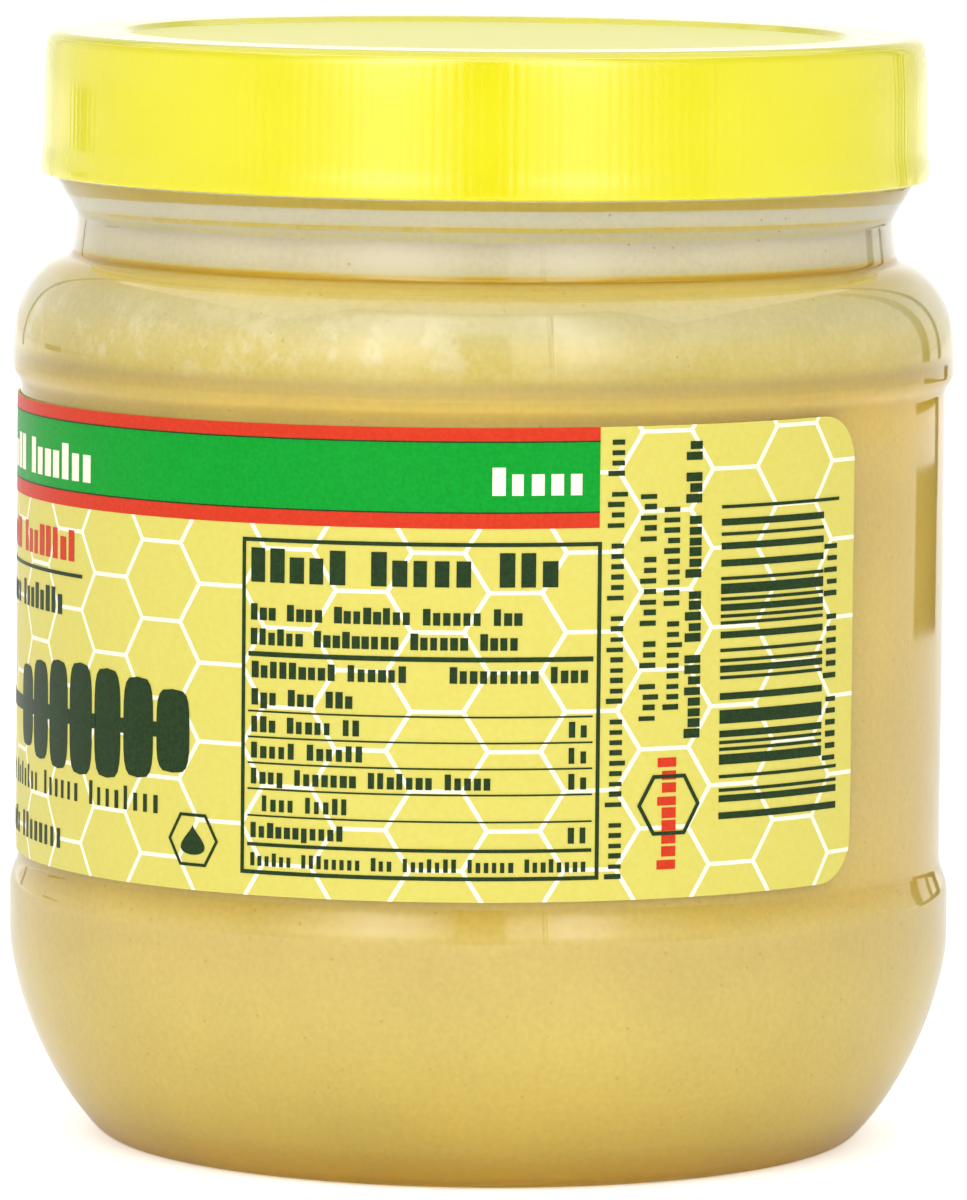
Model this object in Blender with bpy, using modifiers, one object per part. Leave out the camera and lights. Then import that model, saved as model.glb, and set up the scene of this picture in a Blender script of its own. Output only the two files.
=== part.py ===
"""Clear PET jar of creamed honey with a yellow screw lid and a paper wrap label.

Metres, +Z up. The origin is the centre of the standing ring, so the jar stands on z = 0,
and -Y is the side from which the end of the label is seen.
"""

import math

import bmesh
import bpy

MM = 0.001

# Turning: flat faces round every turned piece, at one shared phase so that the gaps stay even
FACES = 60

# Fit between neighbouring pieces
GAP = 0.3 * MM

# Lid, a 70 mm continuous-thread closure
LID_TOP = 90.35 * MM
LID_BOTTOM = 78.8 * MM
LID_RADIUS = 35.95 * MM
LID_HEM_RADIUS = 36.25 * MM
LID_HEM_HEIGHT = 2.6 * MM
LID_HEM_BAND = 0.4 * MM
LID_SKIRT_FOOT_RADIUS = 36.05 * MM
LID_EDGE_ROUND = 1.2 * MM
LID_BORE = 35.1 * MM
LID_PANEL = 1.35 * MM
RECESS_RADIUS = 29.7 * MM
RECESS_DEPTH = 0.45 * MM

# Neck of the jar
JAR_TOP = LID_TOP - RECESS_DEPTH - LID_PANEL - GAP
BORE_RADIUS = 31.4 * MM
FINISH_RADIUS = 33.55 * MM
BEAD_RADIUS = 35.0 * MM
BEAD_TOP = LID_BOTTOM - 0.4 * MM
BEAD_BAND = 0.7 * MM
BEAD_CHAMFER = 0.3 * MM
NECK_RADIUS = 33.45 * MM
NECK_TOP = 75.0 * MM
NECK_BOTTOM = 72.4 * MM

# Thread, six turns to the inch, one turn long
THREAD_PITCH = 4.23 * MM
THREAD_TURNS = 1.1
THREAD_STEPS = 40
JAR_THREAD_ROUND = 1.05 * MM
JAR_THREAD_START = 81.6 * MM
LID_THREAD_ROUND = 0.9 * MM
THREAD_TIP = 0.35
THREAD_RUN_OUT = 0.11

# Body of the jar: two fat rings above and below the flat label panel
WALL = 0.9 * MM
RING_RADIUS = 38.5 * MM
PANEL_RADIUS = 37.8 * MM
SHOULDER_CENTRE = (33.0 * MM, 64.8 * MM)
SHOULDER_RISE = 7.4 * MM
SHOULDER_START = 84
UPPER_STEP = (62.8 * MM, 61.0 * MM)
LOWER_STEP = (23.4 * MM, 20.5 * MM)
BOWL = ((38.5, 17.0), (38.5, 13.4), (36.1, 5.5), (31.4, 0.75))
HEEL_ROUND = 2.5 * MM
HEEL_TURN = 45
STANDING_RING = (29.6 * MM, 27.4 * MM)
PUSH_UP = 2.4 * MM

# Honey, filled to a level hidden by the lid
HONEY_LEVEL = 81.0 * MM

# Label, wrapped round most of the panel with its ends apart
LABEL_THICKNESS = 0.2 * MM
LABEL_TOP = 61.2 * MM
LABEL_BOTTOM = 23.9 * MM
LABEL_ENDS = (-201, 51)
LABEL_CORNER = 3.7 * MM
LABEL_RISE = 0.28 * MM
LABEL_COLUMNS = 48
CORNER_COLUMNS = 6

# Edges sharper than this many degrees stay crisp in the shading
CRISP_EDGE = 35


def arc(centre, radii, start, end, steps):
    """Points (radius, height) on an ellipse from start to end degrees, both ends kept."""
    points = []
    for i in range(steps + 1):
        turn = math.radians(start + (end - start) * i / steps)
        points.append((centre[0] + radii[0] * math.cos(turn), centre[1] + radii[1] * math.sin(turn)))
    return points


def bezier(corners, steps):
    """Points on the cubic curve of four control points, both ends kept."""
    points = []
    for i in range(steps + 1):
        t = i / steps
        weights = ((1 - t) ** 3, 3 * t * (1 - t) ** 2, 3 * t * t * (1 - t), t**3)
        points.append(tuple(sum(w * c[axis] for w, c in zip(weights, corners)) for axis in (0, 1)))
    return points


def ogee(start, end, steps):
    """Points of a soft step from start to end: the radius follows half a cosine down the height."""
    points = []
    for i in range(steps + 1):
        t = i / steps
        ease = (1 - math.cos(math.pi * t)) / 2
        points.append((start[0] + (end[0] - start[0]) * ease, start[1] + (end[1] - start[1]) * t))
    return points


def inset(points, depth):
    """An open outline that runs down the outer side, moved towards the inside by depth along its normals."""
    moved = []
    for i, (radius, height) in enumerate(points):
        before = points[max(i - 1, 0)]
        after = points[min(i + 1, len(points) - 1)]
        run = after[0] - before[0]
        fall = after[1] - before[1]
        length = math.hypot(run, fall)
        moved.append((radius + depth * fall / length, height - depth * run / length))
    return moved


def body_side():
    """The outer side of the jar from the shoulder down to the end of the heel."""
    shoulder_reach = RING_RADIUS - SHOULDER_CENTRE[0]
    points = arc(SHOULDER_CENTRE, (shoulder_reach, SHOULDER_RISE), SHOULDER_START, 0, 6)
    points += ogee((RING_RADIUS, UPPER_STEP[0]), (PANEL_RADIUS, UPPER_STEP[1]), 2)
    points += ogee((PANEL_RADIUS, LOWER_STEP[0]), (RING_RADIUS, LOWER_STEP[1]), 2)
    points += bezier([(r * MM, z * MM) for r, z in BOWL], 6)
    heel = (STANDING_RING[0], HEEL_ROUND)
    points += arc(heel, (HEEL_ROUND, HEEL_ROUND), -HEEL_TURN, -90, 2)[1:]
    return points


def finish(obj, material, bag):
    """Give a piece its material, keep it in the jar's collection and round its shading."""
    for owner in list(obj.users_collection):
        owner.objects.unlink(obj)
    bag.objects.link(obj)
    obj.data.materials.clear()
    obj.data.materials.append(material)
    obj.data.shade_smooth()
    obj.data.set_sharp_from_angle(angle=math.radians(CRISP_EDGE))
    return obj


def turned(name, outline, material, bag):
    """A closed solid of revolution: the outline starts and ends on the axis, outer side running down."""
    mesh = bpy.data.meshes.new(name)
    verts = [(radius, 0, height) for radius, height in outline]
    edges = [(i, i + 1) for i in range(len(outline) - 1)]
    mesh.from_pydata(verts, edges, [])
    obj = bpy.data.objects.new(name, mesh)
    bag.objects.link(obj)
    screw = obj.modifiers.new("turn", "SCREW")
    screw.steps = FACES
    screw.render_steps = FACES
    screw.use_merge_vertices = True
    screw.merge_threshold = 0.00001
    return finish(obj, material, bag)


def thread(name, radius, start, thickness, bag):
    """A round thread of one helix, tapered away at both ends, as a closed mesh for a union."""
    curve = bpy.data.curves.new(name, "CURVE")
    curve.dimensions = "3D"
    curve.bevel_depth = thickness
    curve.bevel_resolution = 1
    curve.use_fill_caps = True
    spline = curve.splines.new("POLY")
    spline.points.add(THREAD_STEPS)
    for i, point in enumerate(spline.points):
        share = i / THREAD_STEPS
        turn = 2 * math.pi * THREAD_TURNS * share
        height = start + THREAD_PITCH * THREAD_TURNS * share
        point.co = (radius * math.cos(turn), radius * math.sin(turn), height, 1)
        point.radius = min(1, THREAD_TIP + (1 - THREAD_TIP) * min(share, 1 - share) / THREAD_RUN_OUT)
    tube = bpy.data.objects.new(name + "_tube", curve)
    bag.objects.link(tube)
    bpy.context.view_layer.update()
    shape = tube.evaluated_get(bpy.context.evaluated_depsgraph_get())
    mesh = bpy.data.meshes.new_from_object(shape)
    caps = bmesh.new()
    caps.from_mesh(mesh)
    bmesh.ops.remove_doubles(caps, verts=caps.verts, dist=0.00001)
    caps.to_mesh(mesh)
    caps.free()
    obj = bpy.data.objects.new(name, mesh)
    obj.matrix_world = tube.matrix_world
    bag.objects.link(obj)
    bpy.data.objects.remove(tube)
    obj.hide_render = True
    obj.display_type = "WIRE"
    return obj


def join_thread(obj, ridge):
    """Unite a thread with the wall that carries it."""
    union = obj.modifiers.new("thread", "BOOLEAN")
    union.operation = "UNION"
    union.solver = "EXACT"
    union.object = ridge


def jar(material, bag, guides):
    """The clear shell: bore up, over the rim, down the neck and side, and in under the push-up base."""
    side = body_side()
    inner = list(reversed(inset(side, WALL)))
    inner_floor = inner[0]
    bore_foot = (BORE_RADIUS, NECK_BOTTOM - WALL)
    outline = [(0, PUSH_UP + WALL), (STANDING_RING[1] - WALL, inner_floor[1])]
    outline += inner
    outline += [bore_foot, (BORE_RADIUS, JAR_TOP), (FINISH_RADIUS, JAR_TOP)]
    outline += [(FINISH_RADIUS, BEAD_TOP + BEAD_CHAMFER), (BEAD_RADIUS, BEAD_TOP)]
    outline += ogee((BEAD_RADIUS, BEAD_TOP - BEAD_BAND), (NECK_RADIUS, NECK_TOP), 4)
    outline += [(NECK_RADIUS, NECK_BOTTOM)]
    outline += side
    outline += [(STANDING_RING[1], 0), (0, PUSH_UP)]
    obj = turned("jar", outline, material, bag)
    ridge = thread("jar_thread", FINISH_RADIUS, JAR_THREAD_START, JAR_THREAD_ROUND, guides)
    join_thread(obj, ridge)
    return obj


def honey(material, bag):
    """Creamed honey filling the inside up to its level, a gap away from the wall."""
    depth = WALL + GAP
    side = inset(body_side(), depth)
    radius = BORE_RADIUS - GAP
    floor = side[-1][1]
    outline = [(0, HONEY_LEVEL), (radius, HONEY_LEVEL), (radius, NECK_BOTTOM - depth)]
    outline += side
    outline += [(STANDING_RING[1] - depth, floor), (0, PUSH_UP + depth)]
    return turned("honey", outline, material, bag)


def lid(material, bag, guides):
    """The screw lid: recessed top, rounded edge, skirt with a flared hem, and one inner thread."""
    ceiling = LID_TOP - RECESS_DEPTH - LID_PANEL
    edge_centre = (LID_RADIUS - LID_EDGE_ROUND, LID_TOP - LID_EDGE_ROUND)
    outline = [(0, LID_TOP - RECESS_DEPTH), (RECESS_RADIUS - RECESS_DEPTH / 2, LID_TOP - RECESS_DEPTH)]
    outline += [(RECESS_RADIUS, LID_TOP)]
    outline += arc(edge_centre, (LID_EDGE_ROUND, LID_EDGE_ROUND), 90, 0, 4)
    outline += [(LID_SKIRT_FOOT_RADIUS, LID_BOTTOM + LID_HEM_HEIGHT)]
    outline += [(LID_HEM_RADIUS, LID_BOTTOM + LID_HEM_BAND), (LID_HEM_RADIUS, LID_BOTTOM)]
    outline += [(LID_BORE, LID_BOTTOM), (LID_BORE, ceiling), (0, ceiling)]
    obj = turned("lid", outline, material, bag)
    start = JAR_THREAD_START - THREAD_PITCH / 2
    ridge = thread("lid_thread", LID_BORE, start, LID_THREAD_ROUND, guides)
    join_thread(obj, ridge)
    return obj


def label_columns():
    """Degrees and trimmed height of each column: the ends follow the rounded corners of the paper."""
    first, last = LABEL_ENDS
    radius = PANEL_RADIUS + GAP
    corner_span = math.degrees(LABEL_CORNER / radius)
    columns = []
    for i in range(CORNER_COLUMNS + 1):
        turn = math.radians(90 * i / CORNER_COLUMNS)
        columns.append((corner_span * (1 - math.cos(turn)), LABEL_CORNER * (1 - math.sin(turn))))
    left = [(first + span, trim) for span, trim in columns]
    right = [(last - span, trim) for span, trim in reversed(columns)]
    middle = []
    for i in range(1, LABEL_COLUMNS):
        share = i / LABEL_COLUMNS
        middle.append((left[-1][0] + (right[0][0] - left[-1][0]) * share, 0))
    return left + middle + right


def label(material, bag):
    """The wrap label: a flat strip of columns laid round the panel, then given its thickness."""
    columns = label_columns()
    bpy.ops.mesh.primitive_grid_add(x_subdivisions=len(columns) - 1, y_subdivisions=1)
    obj = bpy.context.object
    obj.name = "label"
    obj.data.name = "label"
    radius = PANEL_RADIUS + GAP
    last = len(columns) - 1
    for vertex in obj.data.vertices:
        degrees, trim = columns[round((vertex.co.x + 1) / 2 * last)]
        turn = math.radians(degrees)
        edge = LABEL_TOP - trim if vertex.co.y > 0 else LABEL_BOTTOM + trim
        vertex.co = (radius * math.sin(turn), -radius * math.cos(turn), edge + LABEL_RISE * turn)
    solid = obj.modifiers.new("paper", "SOLIDIFY")
    solid.thickness = LABEL_THICKNESS
    solid.offset = 1
    return finish(obj, material, bag)


def material(name, color, roughness, transmission=0.0, ior=1.5):
    """A plain Principled material with the colour and gloss of the real surface."""
    mat = bpy.data.materials.new(name)
    mat.use_nodes = True
    shader = mat.node_tree.nodes["Principled BSDF"]
    shader.inputs["Base Color"].default_value = (*color, 1)
    shader.inputs["Roughness"].default_value = roughness
    shader.inputs["Metallic"].default_value = 0
    shader.inputs["Transmission Weight"].default_value = transmission
    shader.inputs["IOR"].default_value = ior
    return mat


def main():
    """Clear the scene and build the four pieces in one collection, the thread cutters in another."""
    for old in list(bpy.data.objects):
        bpy.data.objects.remove(old)
    bag = bpy.data.collections.new("honey_jar")
    guides = bpy.data.collections.new("threads")
    bpy.context.scene.collection.children.link(bag)
    bpy.context.scene.collection.children.link(guides)
    clear = material("clear_pet", (0.95, 0.95, 0.93), 0.05, transmission=1.0, ior=1.57)
    yellow = material("yellow_polypropylene", (0.92, 0.87, 0.05), 0.35)
    cream = material("creamed_honey", (0.73, 0.59, 0.19), 0.4)
    paper = material("printed_paper", (0.9, 0.8, 0.16), 0.45)
    jar(clear, bag, guides)
    honey(cream, bag)
    lid(yellow, bag, guides)
    label(paper, bag)


main()
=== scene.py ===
"""Looks of a clear PET jar of creamed honey: ribbed yellow screw lid and a honeycomb wrap label.

Sizes are millimetres in the named values and metres in the meshes. Turned pieces share one angle
convention: t = 0 faces -Y, t grows towards +X, so x = r sin t and y = -r cos t.
"""

import math

import bmesh
import bpy
import numpy as np
from mathutils import Matrix, Vector


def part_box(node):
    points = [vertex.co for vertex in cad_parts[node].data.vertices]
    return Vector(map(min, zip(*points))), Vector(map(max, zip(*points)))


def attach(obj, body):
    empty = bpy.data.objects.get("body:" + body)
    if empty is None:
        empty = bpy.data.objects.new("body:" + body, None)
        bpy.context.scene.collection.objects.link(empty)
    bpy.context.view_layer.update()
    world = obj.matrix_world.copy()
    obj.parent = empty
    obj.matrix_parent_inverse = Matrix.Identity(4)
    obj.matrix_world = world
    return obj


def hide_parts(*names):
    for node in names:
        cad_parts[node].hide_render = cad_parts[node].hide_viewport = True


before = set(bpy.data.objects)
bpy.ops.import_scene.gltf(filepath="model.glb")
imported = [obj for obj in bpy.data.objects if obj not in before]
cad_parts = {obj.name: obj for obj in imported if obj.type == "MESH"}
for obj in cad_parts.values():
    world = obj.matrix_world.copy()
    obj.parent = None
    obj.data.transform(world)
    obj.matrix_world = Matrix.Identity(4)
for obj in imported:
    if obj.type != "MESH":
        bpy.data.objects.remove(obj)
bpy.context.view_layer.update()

MM = 0.001
CRISP_EDGE = math.radians(35)

# Lid, read from its node: top, foot and the radii of a 70 mm closure
LID_LOW, LID_HIGH = (corner.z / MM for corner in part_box("lid"))
LID_RADIUS = 35.8
LID_WALL = ((35.87, 88.4), (35.98, 87.2), (36.0, 86.0))
LID_HEM_RADIUS = 36.25
LID_HEM_HEIGHT = 2.6
LID_FOOT_RADIUS = 36.05
LID_HEM_ROUND = 0.12
LID_EDGE_ROUND = 1.2
LID_BORE = 35.1
LID_PANEL = 1.35
RECESS_RADIUS = 29.7
RECESS_DEPTH = 0.45
RECESS_FOOT = (0.6, 0.2)
RECESS_LIP = (0.1, 0.25)
RIBS = 260
RIB_DEPTH = 0.009
RIB_SAMPLES = 8
RIB_SHARPNESS = 2
RIB_UNEVEN = 0.25
RIB_TOP_MARGIN = 0.75
RIB_FOOT_MARGIN = 0.45
RIB_TOP_FADE = 0.25
RIB_FOOT_FADE = 0.15

# Neck of the jar
JAR_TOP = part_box("jar")[1].z / MM
BORE_RADIUS = 31.4
FINISH_RADIUS = 33.55
BEAD_RADIUS = 35.0
BEAD_TOP = LID_LOW - 0.02
BEAD_BAND = 0.36
BEAD_ROUND = 0.16
CONE_FOOT = (33.75, 76.2)
NECK_RADIUS = 33.45
NECK_TOP = 75.3
NECK_SWELL = 0.07
NECK_FOOT_RADIUS = 33.66
NECK_BOTTOM = 72.4
NECK_FILLET = 0.7

# Height of the fillet's centre, and the angle at which it meets the shoulder's start
FILLET_HEIGHT = 72.7
FILLET_END = 254.2

# Threads, six turns to the inch
THREAD_PITCH = 4.23
THREAD_TURNS = 1.1
JAR_THREAD_ROUND = 1.05
JAR_THREAD_START = 81.6
LID_THREAD_ROUND = 0.9
THREAD_TIP = 0.35
THREAD_RUN_OUT = 0.11

# Body of the jar: two fat rings above and below the label panel
WALL = 0.9
RING_RADIUS = 38.5
PANEL_RADIUS = 37.8
SHOULDER_CENTRE = (33.0, 64.8)
SHOULDER_RISE = 7.4
SHOULDER_START = 77.7
UPPER_STEP = (63.2, 61.5)
LOWER_STEP = (23.4, 20.5)
BOWL = ((38.5, 17.0), (38.5, 13.4), (36.1, 5.5), (31.4, 0.75))
HEEL_ROUND = 2.5
HEEL_TURN = 45
STANDING_RING = (29.6, 27.4)
PUSH_UP = 2.4
JAR_COLUMNS = 256
PARTING_AT = 8.0
PARTING_HEIGHT = 0.05
PARTING_WIDTH = 0.14
PARTING_SPAN = 1.2
RELIEF_FOOT = 1.5
SWAY = 0.02

# Honey, which reaches just into the wall so that no air shows
HONEY_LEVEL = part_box("honey")[1].z / MM
HONEY_BITE = 0.15

# Label: u is the length along the paper from t = 0, v the height
LABEL_INNER = 37.83
LABEL_OUTER = 38.0
LABEL_TOP = 61.2
LABEL_BOTTOM = 23.9
LABEL_ENDS = (-201, 51)
LABEL_CORNER = 3.7
LABEL_RISE = 0.28
LABEL_U = tuple(LABEL_OUTER * math.radians(end) for end in LABEL_ENDS)
INK = 0.01
INK_STEP = 0.003
LONGEST_QUAD = 1.2

# Camera, fitted to the ellipses of the photograph
CAMERA_DISTANCE = 0.8
CAMERA_HEIGHT = 0.12554
CAMERA_ASIDE = 0.00019
CAMERA_PITCH = math.radians(5.83)
CAMERA_ROLL = math.radians(0.55)
FOCAL_PIXELS = 9815
FRAME_PIXELS = (967, 1200)
FILM_HEIGHT = 24


def linear(code):
    """The linear colour of an sRGB hex value such as F4E76E."""
    channels = []
    for i in (0, 2, 4):
        value = int(code[i:i + 2], 16) / 255
        channels.append(value / 12.92 if value <= 0.04045 else ((value + 0.055) / 1.055) ** 2.4)
    return (*channels, 1.0)


def link(tree, node, links):
    """Link inputs of the node, each to an output or to the first output of another node."""
    for key, source in links.items():
        output = source.outputs[0] if isinstance(source, bpy.types.Node) else source
        tree.links.new(output, node.inputs[key])


def set_stops(elements, stops):
    """Give a ramp its stops: (position, hex colour or grey level), where the levels may pass 1."""
    elements.remove(elements[-1])
    elements[0].position = stops[0][0]
    for i, (position, value) in enumerate(stops):
        element = elements.new(position) if i else elements[0]
        element.color = linear(value) if isinstance(value, str) else (value, value, value, 1)


def add(tree, kind, settings=None, links=None):
    """A node of that kind with its properties, input values and a ramp's stops set, and its inputs linked."""
    node = tree.nodes.new(kind)
    for key, value in (settings or {}).items():
        if key == "stops":
            set_stops(node.color_ramp.elements, value)
        elif isinstance(key, str) and hasattr(node, key):
            setattr(node, key, value)
        else:
            node.inputs[key].default_value = value
    link(tree, node, links or {})
    return node


def new_material(name):
    """An empty Principled material: the material, its node tree, shader and object coordinates."""
    mat = bpy.data.materials.new(name)
    mat.use_nodes = True
    tree = mat.node_tree
    shader = tree.nodes["Principled BSDF"]
    place = add(tree, "ShaderNodeTexCoord").outputs["Object"]
    return mat, tree, shader, place


def dress(tree, shader, values, links):
    """Set constants on the shader's own sockets and link the rest."""
    for key, value in values.items():
        shader.inputs[key].default_value = value
    link(tree, shader, links)


# How wide the blotches of each pattern are, in mm. Crystals, fibres and printing dots are really finer
# than 0.1 mm and are drawn as coarse as they need to show
PET_HAZE = 5.0
HONEY_SWAY = 6.0
HONEY_DRIFT = 14.0
HONEY_CRYSTALS = 0.45
HONEY_MOTTLE = 3.2
HONEY_BUBBLES = 1.7
LID_FLOW = 12.0
LID_POLISH = 4.0
LID_ETCH = 0.35
PAPER_FIBRES = 0.5
PAPER_TOOTH = 0.8
INK_DOTS = 0.3
INK_SHEEN = 3.0
BACKDROP_HAZE = 20.0
FELT_TUFTS = 3.0


def scale(size_mm):
    """The scale of a texture whose blotches are about size_mm across."""
    return 1 / (size_mm * MM)


def wander(tree, place, size_mm, detail, reach, within=(0.0, 1.0), roughness=0.5):
    """A value that wanders over the reach in blotches of that size; within is the part of the noise used."""
    noise = add(tree, "ShaderNodeTexNoise",
                {"Scale": scale(size_mm), "Detail": detail, "Roughness": roughness}, {"Vector": place})
    return add(tree, "ShaderNodeMapRange",
               {"From Min": within[0], "From Max": within[1], "To Min": reach[0], "To Max": reach[1]},
               {"Value": noise})


def blotched(tree, place, size_mm, detail, codes, edges=(0.3, 0.7)):
    """A colour that wanders between two hex values in blotches of that size."""
    noise = add(tree, "ShaderNodeTexNoise", {"Scale": scale(size_mm), "Detail": detail}, {"Vector": place})
    return add(tree, "ShaderNodeValToRGB", {"stops": tuple(zip(edges, codes))}, {"Fac": noise})


def graded(tree, measure, unit, span, stops):
    """The colour or level at a measure, from stops that lie within the span; both are in that unit."""
    low, high = span
    share = add(tree, "ShaderNodeMapRange", {"From Min": low * unit, "From Max": high * unit},
                {"Value": measure})
    placed = [((position - low) / (high - low), value) for position, value in stops]
    return add(tree, "ShaderNodeValToRGB", {"stops": placed}, {"Fac": share})


def blown_pet():
    """PET, blown into a polished mould: water-clear and glossy; the wall's ripple is in the mesh."""
    mat, tree, shader, place = new_material("clear_blown_pet")
    tint = blotched(tree, place, PET_HAZE, 1.0, ("FEFEFD", "FFFFFF"))
    dress(tree, shader, {"Transmission Weight": 1.0, "Roughness": 0.06, "IOR": 1.57}, {"Base Color": tint})
    return mat


# Honey by height in mm: pale straw with painted shade, darker gold at the bottom of the bowl and along the
# label's top and bottom edges, where floor and label shade it
HONEY_AND_PAINTED_SHADE = (
    (1.0, "DDB90F"), (3.8, "E6D05E"), (8.0, "ECD978"), (13.0, "ECDC86"), (20.5, "E8D688"),
    (22.7, "F2DB76"), (27.0, "EFDB84"), (58.0, "EFDB84"), (62.6, "FADF6A"), (63.4, "D8C064"),
    (64.2, "D3C076"), (65.1, "E9DB8A"), (67.0, "EADE98"), (69.0, "E2DAAE"), (70.2, "E6DDA8"),
)
# Honey of the neck by height in mm, golden in the fillet and right below the lid. The gold in the fillet, in
# a thin line at 76.5 to 76.9 mm and below the lid is painted reflection of the yellow lid and painted shade.
# The near-white neck is partly frost and partly painted light in the lid's shade
NECK_HONEY_AND_PAINTED_LIGHT = (
    (70.2, "E8DEA8"), (71.25, "F0DB7C"), (71.45, "F1D050"), (71.6, "F1CE46"), (71.72, "F0CC3A"),
    (72.3, "FCDE50"), (72.45, "FFF080"), (72.65, "FFFEE4"), (73.2, "FFFEEC"), (75.1, "FFFEF6"),
    (75.3, "FFFDE6"), (75.6, "FFFCC4"), (75.85, "FFFCC2"), (76.1, "FFFDDE"), (76.4, "FFFDE0"),
    (76.52, "FFF088"), (76.85, "FFEA5C"), (76.98, "FFFBD0"), (77.3, "FFFDEA"), (78.32, "FFFCE6"),
    (78.42, "FFE23C"), (79.0, "FFE23C"),
)

# Frost of tiny air bubbles against the wall, by height in mm: grey stands for the share of white
FROST_BY_HEIGHT = (
    (64.2, "000000"), (66.0, "C0C0C0"), (68.4, "B0B0B0"), (70.0, "505050"), (72.4, "303030"),
    (73.0, "A0A0A0"), (78.2, "A0A0A0"), (78.4, "000000"),
)


# The two lists of colours meet over this many mm to either side, and each height sways by this many
HONEY_MEET = 0.1
HONEY_SWAY_HEIGHT = 0.06


def by_height(tree, height, stops):
    """The colour at a height in metres from (mm, hex colour) stops; each ramp keeps to its own stretch."""
    return graded(tree, height, MM, (stops[0][0], stops[-1][0]), stops)


def creamed_honey():
    """Honey stirred until it sets in fine crystals: opaque pale straw, grainy, with frosty patches, and
    painted shade and painted reflections of the lid by height.
    """
    mat, tree, shader, place = new_material("creamed_honey")
    axes = add(tree, "ShaderNodeSeparateXYZ", {}, {0: place}).outputs
    sway = wander(tree, place, HONEY_SWAY, 2.0, (-HONEY_SWAY_HEIGHT * MM, HONEY_SWAY_HEIGHT * MM))
    level = add(tree, "ShaderNodeMath", {"operation": "ADD"}, {0: axes["Z"], 1: sway})
    meet = HONEY_AND_PAINTED_SHADE[-1][0]
    in_neck = add(tree, "ShaderNodeMapRange",
                  {"From Min": (meet - HONEY_MEET) * MM, "From Max": (meet + HONEY_MEET) * MM},
                  {"Value": level})
    # The height lists carry painted shade and painted reflections of the lid besides the honey's own colour
    body = add(tree, "ShaderNodeMix", {"data_type": "RGBA"},
               {0: in_neck, 6: by_height(tree, level, HONEY_AND_PAINTED_SHADE),
                7: by_height(tree, level, NECK_HONEY_AND_PAINTED_LIGHT)}).outputs[2]
    drift = wander(tree, place, HONEY_DRIFT, 3.0, (0.96, 1.04), (0.3, 0.7))
    body = add(tree, "ShaderNodeHueSaturation", {}, {"Color": body, "Value": drift})
    grain = wander(tree, place, HONEY_CRYSTALS, 2.0, (0.96, 1.03), (0.3, 0.7))
    body = add(tree, "ShaderNodeHueSaturation", {}, {"Color": body, "Value": grain})
    mottle = wander(tree, place, HONEY_MOTTLE, 6.0, (0.0, 1.0), (0.5, 0.62), 0.68)
    where = by_height(tree, level, FROST_BY_HEIGHT)
    side = add(tree, "ShaderNodeMapRange",
               {"From Min": -8 * MM, "From Max": 6 * MM, "To Min": 1.0, "To Max": 0.35}, {"Value": axes["X"]})
    frost = add(tree, "ShaderNodeMath", {"operation": "MULTIPLY"}, {0: mottle, 1: where})
    frost = add(tree, "ShaderNodeMath", {"operation": "MULTIPLY"}, {0: frost, 1: side})
    body = add(tree, "ShaderNodeMix", {"data_type": "RGBA", 7: linear("FFFCEA")},
               {0: frost, 6: body}).outputs[2]
    bubbles = add(tree, "ShaderNodeTexVoronoi", {"Scale": scale(HONEY_BUBBLES)}, {"Vector": place})
    pricks = add(tree, "ShaderNodeMapRange",
                 {"From Min": 0.02, "From Max": 0.1, "To Min": 0.7, "To Max": 0.0},
                 {"Value": bubbles.outputs["Distance"]})
    body = add(tree, "ShaderNodeMix", {"data_type": "RGBA", 7: linear("D8B24E")},
               {0: pricks, 6: body}).outputs[2]
    dress(tree, shader, {"Roughness": 0.9, "Specular IOR Level": 0.0}, {"Base Color": body})
    return mat


def moulded_polypropylene():
    """Polypropylene, injection moulded: lemon yellow, waxy gloss, and an etched, duller disc on top."""
    mat, tree, shader, place = new_material("moulded_polypropylene")
    body = blotched(tree, place, LID_FLOW, 2.0, ("C9C111", "CBC418"))
    height = add(tree, "ShaderNodeSeparateXYZ", {}, {0: place}).outputs["Z"]
    level = (LID_HIGH - RECESS_DEPTH) * MM
    below, above = (
        add(tree, "ShaderNodeMapRange",
            {"From Min": level + side * 0.03 * MM, "From Max": level + side * 0.01 * MM}, {"Value": height})
        for side in (1, -1)
    )
    disc = add(tree, "ShaderNodeMath", {"operation": "MULTIPLY"}, {0: below, 1: above})
    body = add(tree, "ShaderNodeMix", {"data_type": "RGBA", 7: linear("DAD768")},
               {0: disc, 6: body}).outputs[2]
    polish = wander(tree, place, LID_POLISH, 3.0, (0.11, 0.17))
    gloss = add(tree, "ShaderNodeMath", {"operation": "MULTIPLY_ADD", 1: 0.3}, {0: disc, 2: polish})
    etch = add(tree, "ShaderNodeTexNoise", {"Scale": scale(LID_ETCH), "Detail": 2.0}, {"Vector": place})
    bump = add(tree, "ShaderNodeBump", {"Strength": 0.08, "Distance": 0.04 * MM}, {"Height": etch})
    dress(tree, shader, {"IOR": 1.49, "Specular IOR Level": 1.0},
          {"Base Color": body, "Roughness": gloss, "Normal": bump})
    return mat


def coated_paper():
    """Wood-free paper with a clay coating and a yellow flood print: smooth, half gloss, faint fibre."""
    mat, tree, shader, place = new_material("coated_label_paper")
    body = blotched(tree, place, PAPER_FIBRES, 3.0, ("BCB14A", "BFB653"))
    tooth = add(tree, "ShaderNodeTexNoise", {"Scale": scale(PAPER_TOOTH), "Detail": 3.0}, {"Vector": place})
    bump = add(tree, "ShaderNodeBump", {"Strength": 0.1, "Distance": 0.03 * MM}, {"Height": tooth})
    dress(tree, shader, {"Roughness": 0.42, "Specular IOR Level": 0.4}, {"Base Color": body, "Normal": bump})
    return mat


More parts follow.
